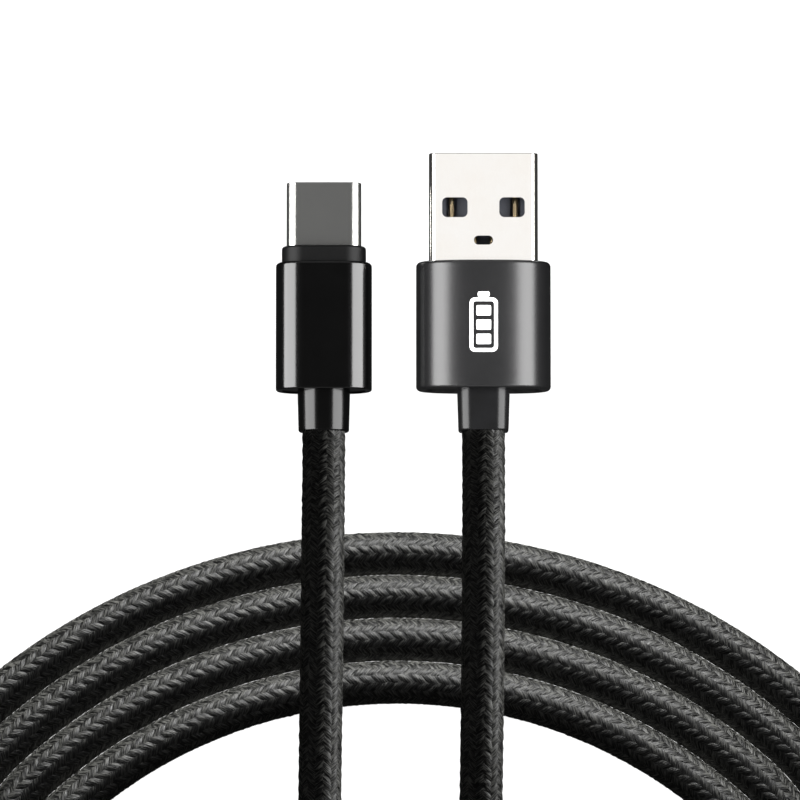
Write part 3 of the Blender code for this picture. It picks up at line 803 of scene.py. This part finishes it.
def reliefPiece(name, node, x, z, figures, sleeveRear):
    # the boot: a flange inside the sleeve's rear and a tapered neck round the cable
    low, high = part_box(node)
    width, height = figures["relief"]
    neck = barAlong(name, x, z, width, height, low.y, high.y - 0.0002, figures["reliefCorner"], 0.5, 10)
    choose(neck, "VERT", lambda v: isAt(v, low.y))
    taper = figures["reliefTaper"]
    bpy.ops.transform.resize(value=(taper, 1.0, taper), center_override=(x, low.y, z))
    leaveEdit()
    roundRim(neck, low.y, figures["reliefRim"], 4)
    flangeRear = sleeveRear + figures["flangeIn"]
    flange = barAlong("flange", x, z, high.x - low.x, high.z - low.z, flangeRear, high.y,
                      figures["flangeCorner"], figures["sleeveProfile"], 10)
    roundRim(flange, flangeRear, figures["flangeRim"], 3)
    return joinPieces(name, [neck, flange])


wideSleeve = sleevePiece("wide_sleeve_cover", "wide_plug_sleeve", wideX, wideZ, widePlug)
settle(wideSleeve, greyCoat, "wide_plug_sleeve")
wideRelief = reliefPiece("wide_relief_boot", "wide_plug_strain_relief", wideX, wideZ, widePlug,
                         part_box("wide_plug_sleeve")[0].y)
settle(wideRelief, reliefRubber, "wide_plug_strain_relief")


def wideShield():
    low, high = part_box("wide_plug_shell")
    corner, wall = widePlug["shellCorner"], widePlug["shellWall"]
    piece = barAlong("wide_shield", wideX, wideZ, high.x - low.x, high.z - low.z, low.y, high.y,
                     corner, 0.5, 8)
    roundRim(piece, high.y, widePlug["shellRim"], 3)
    cutters = [throughCut(wideX, wideZ, high.x - low.x - 2 * wall, high.z - low.z - 2 * wall,
                          low, high, corner - wall, 0.5, 6)]
    under, over = low.z - 0.001, high.z + 0.001
    for side in (-1, 1):
        cutters.append(slabUp("window", wideX + side * widePlug["windowX"], high.y - widePlug["windowBack"],
                              *widePlug["window"], under, over, widePlug["windowCorner"]))
    cutters.append(slabUp("hole", wideX, high.y - widePlug["holeBack"], *widePlug["hole"],
                          under, over, widePlug["holeCorner"], 8))
    cutAway(piece, cutters)
    return piece


wideTube = settle(wideShield(), nickel, "wide_plug_shell")
batteryFigures = {
    "middleY": -0.0039,
    "outline": (0.0031, 0.0060), "outlineCorner": 0.0006,
    "inside": (0.0023, 0.0052), "insideCorner": 0.0003,
    "nub": (0.0013, 0.00056), "nubAhead": 0.00338, "nubCorner": 0.00018,
    "bar": (0.0016, 0.00112), "barGap": 0.00158, "barCorner": 0.00014,
    "inkDepth": 0.00002, "inkHeight": 0.00001,
}


def batteryMark():
    # a plain upright battery with charge bars, in thin white ink on the sleeve
    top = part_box("wide_plug_sleeve")[1].z
    figures = batteryFigures
    y = figures["middleY"]
    ink = (top - figures["inkDepth"], top + figures["inkHeight"])
    outline = slabUp("mark", wideX, y, *figures["outline"], *ink, figures["outlineCorner"])
    cutAway(outline, [slabUp("inside", wideX, y, *figures["inside"], top - 0.001, top + 0.001,
                             figures["insideCorner"])])
    parts = [outline, slabUp("nub", wideX, y + figures["nubAhead"], *figures["nub"], *ink,
                             figures["nubCorner"])]
    for step in (-1, 0, 1):
        parts.append(slabUp("bar", wideX, y + step * figures["barGap"], *figures["bar"], *ink,
                            figures["barCorner"]))
    return joinPieces("wide_sleeve_mark", parts)


settle(batteryMark(), whiteInk)


def wideContact(node):
    # a narrow crowned spring, so that only its ridge catches the light
    low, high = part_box(node)
    piece = barAlong(node.replace("plug_", ""), (low.x + high.x) / 2, (low.z + high.z) / 2,
                     widePlug["contactWidth"], high.z - low.z, low.y, high.y, None, 0.5, 5)
    roundRim(piece, high.y, widePlug["contactRim"], 2)
    return piece


for role in ("power", "data_minus", "data_plus", "ground"):
    node = "wide_plug_contact_" + role
    settle(wideContact(node), gold, node)
print("wide plug made")


ovalPlug = {
    "sleeveCorner": 0.0031, "sleeveProfile": 0.53,
    "sleeveRim": 0.00040, "rearRim": 0.00022,
    "wall": 0.00070,
    "relief": (0.00584, 0.0052), "reliefCorner": 0.0025, "reliefTaper": 0.955,
    "reliefRim": 0.00022, "flangeRim": 0.00018, "flangeIn": 0.00012, "flangeCorner": 0.0024,
    "collarCorner": 0.0024, "collarRim": 0.00030,
    "shellCorner": 0.00118, "shellWall": 0.0002, "shellRim": 0.00009,
}
ovalSleeve = sleevePiece("oval_sleeve_cover", "oval_plug_sleeve", ovalX, ovalZ, ovalPlug)
settle(ovalSleeve, blackCoat, "oval_plug_sleeve")
ovalRelief = reliefPiece("oval_relief_boot", "oval_plug_strain_relief", ovalX, ovalZ, ovalPlug,
                         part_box("oval_plug_sleeve")[0].y)
settle(ovalRelief, reliefGloss, "oval_plug_strain_relief")


def ovalCollar():
    low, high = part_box("oval_plug_front_collar")
    piece = barAlong("oval_front_collar", ovalX, ovalZ, high.x - low.x, high.z - low.z, low.y, high.y,
                     ovalPlug["collarCorner"], 0.5, 12)
    roundRim(piece, high.y, ovalPlug["collarRim"], 4)
    shellLow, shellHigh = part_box("oval_plug_shell")    # the shield passes right through it
    cutAway(piece, [throughCut(ovalX, ovalZ, shellHigh.x - shellLow.x, shellHigh.z - shellLow.z,
                               low, high, ovalPlug["shellCorner"], 0.5, 12)])
    return piece


def ovalShield():
    low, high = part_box("oval_plug_shell")
    corner, wall = ovalPlug["shellCorner"], ovalPlug["shellWall"]
    piece = barAlong("oval_shield", ovalX, ovalZ, high.x - low.x, high.z - low.z, low.y, high.y,
                     corner, 0.5, 12)
    roundRim(piece, high.y, ovalPlug["shellRim"], 4)
    cutAway(piece, [throughCut(ovalX, ovalZ, high.x - low.x - 2 * wall, high.z - low.z - 2 * wall,
                               low, high, corner - wall, 0.5, 12)])
    return piece


ovalFront = settle(ovalCollar(), charcoal, "oval_plug_front_collar")
ovalTube = settle(ovalShield(), steel, "oval_plug_shell")
braids + [ovalSleeve, ovalRelief, ovalFront, ovalTube]
print("oval plug made")


studio = {
    "floorSide": 6.0,
    "floorTone": (0.90, 0.90, 0.90),
    "floorLight": {"place": (0.0, 0.0, 1.3), "size": (2.2, 2.2), "power": 42.0},
    "floorShade": {"place": (0.0, 0.0, 1.3), "size": (0.6, 0.6), "power": 5.0},
    "boxLeft": {"place": (-0.663, -0.02, 0.447), "size": (1.2, 0.84), "power": 31.0},
    "boxRight": {"place": (0.663, -0.02, 0.447), "size": (1.2, 0.84), "power": 31.0},
    "sleeveLeft": {"place": (-0.455, -0.02, 0.655), "size": (1.2, 0.41), "power": 11.5},
    "sleeveRight": {"place": (0.465, -0.02, 0.655), "size": (1.2, 0.41), "power": 11.5},
    "shieldTop": {"place": (0.0, 0.14, 1.0), "size": (0.7, 0.7), "power": 1.35},
    "cardFront": {"place": (0.0, -1.20, 0.45), "size": (2.0, 0.5), "power": 2.2},
    "cardRear": {"place": (0.0, 1.20, 0.45), "size": (2.0, 0.5), "power": 2.2},
    "coilKey": {"place": (0.04, 0.745, 0.085), "size": (0.20, 0.12), "power": 12.2},
    "coilGlint": {"place": (0.10, 0.60, 0.44), "size": (0.30, 0.26), "power": 11.0},
    "tailKeyWide": {"place": (0.70, 0.10, 0.085), "size": (0.20, 0.12), "power": 4.3},
    "tailKeyOval": {"place": (0.70, 0.10, 0.085), "size": (0.20, 0.12), "power": 4.3},
    "cableFill": {"place": (-0.60, 0.10, 0.55), "size": (0.2, 0.8), "power": 0.2},
    "ambient": 0.03,
}


def addFloor():
    bpy.ops.object.select_all(action="DESELECT")
    bpy.ops.mesh.primitive_plane_add(size=studio["floorSide"], location=(0.0, 0.0, 0.0))
    floor = bpy.context.object
    floor.name = "floor"
    finish = Finish("floor_paper", Roughness=0.9)
    finish.set({"Base Color": studio["floorTone"], "Specular IOR Level": 0.1})
    floor.data.materials.append(finish.material)
    floor.visible_diffuse = False    # it throws no light back on the object
    floor.visible_glossy = False
    return floor


def pieceGroup(name, pieces):
    group = bpy.data.collections.new(name)
    for piece in pieces:
        group.objects.link(piece)
    return group


def addLight(name, lit, shading=None):
    # a soft box that lights only these pieces; where shading is given, only those cast shadows
    figures = studio[name]
    data = bpy.data.lights.new(name, "AREA")
    data.shape = "RECTANGLE"
    data.size, data.size_y = figures["size"]
    data.energy = figures["power"]
    lamp = bpy.data.objects.new(name, data)
    bpy.context.scene.collection.objects.link(lamp)
    lamp.location = figures["place"]
    lamp.rotation_euler = (-Vector(figures["place"])).to_track_quat("-Z", "Y").to_euler()
    lamp.visible_camera = False
    lamp.light_linking.receiver_collection = pieceGroup(name + "Lit", lit)
    if shading is not None:
        lamp.light_linking.blocker_collection = pieceGroup(name + "Shading", shading)
    return lamp


floor = addFloor()
cablePieces = [jacket] + braids
contacts = [o for o in bpy.data.objects if o.name.startswith("wide_contact_")]
plugPieces = [o for o in bpy.data.objects
              if o.type == "MESH" and o not in cablePieces + contacts + [floor, wideSleeve, wideTube]]
addLight("floorLight", [floor], [floor])
addLight("floorShade", [floor])
addLight("boxLeft", plugPieces)
addLight("boxRight", plugPieces)
addLight("sleeveLeft", [wideSleeve, wideTube])
addLight("sleeveRight", [wideSleeve, wideTube])
addLight("shieldTop", contacts + [wideTube])
allPlugPieces = plugPieces + contacts + [wideSleeve, wideTube]
addLight("cardFront", allPlugPieces)
addLight("cardRear", allPlugPieces)
turns = [jacket] + braids[1:3]
addLight("coilKey", turns, [floor]).visible_glossy = False    # gives the soft light on the turns
addLight("coilGlint", turns, [floor]).visible_diffuse = False    # gives their shine, from higher up
addLight("tailKeyWide", braids[:1], braids[:1])
addLight("tailKeyOval", braids[3:], braids[3:])
addLight("cableFill", cablePieces)


def addWorld():
    # pale for the camera, dim for what it lights
    world = bpy.data.worlds.new("studio")
    world.use_nodes = True
    tree = world.node_tree
    tree.nodes.clear()
    path = tree.nodes.new("ShaderNodeLightPath")
    dim = tree.nodes.new("ShaderNodeBackground")
    dim.inputs["Strength"].default_value = studio["ambient"]
    pale = tree.nodes.new("ShaderNodeBackground")
    pale.inputs["Strength"].default_value = 1.0
    for shade in (dim, pale):
        shade.inputs["Color"].default_value = (1.0, 1.0, 1.0, 1.0)
    mix = tree.nodes.new("ShaderNodeMixShader")
    output = tree.nodes.new("ShaderNodeOutputWorld")
    tree.links.new(path.outputs["Is Camera Ray"], mix.inputs["Fac"])
    tree.links.new(dim.outputs["Background"], mix.inputs[1])
    tree.links.new(pale.outputs["Background"], mix.inputs[2])
    tree.links.new(mix.outputs["Shader"], output.inputs["Surface"])
    bpy.context.scene.world = world


addWorld()
bpy.context.scene.view_settings.view_transform = "Standard"
print("studio set")
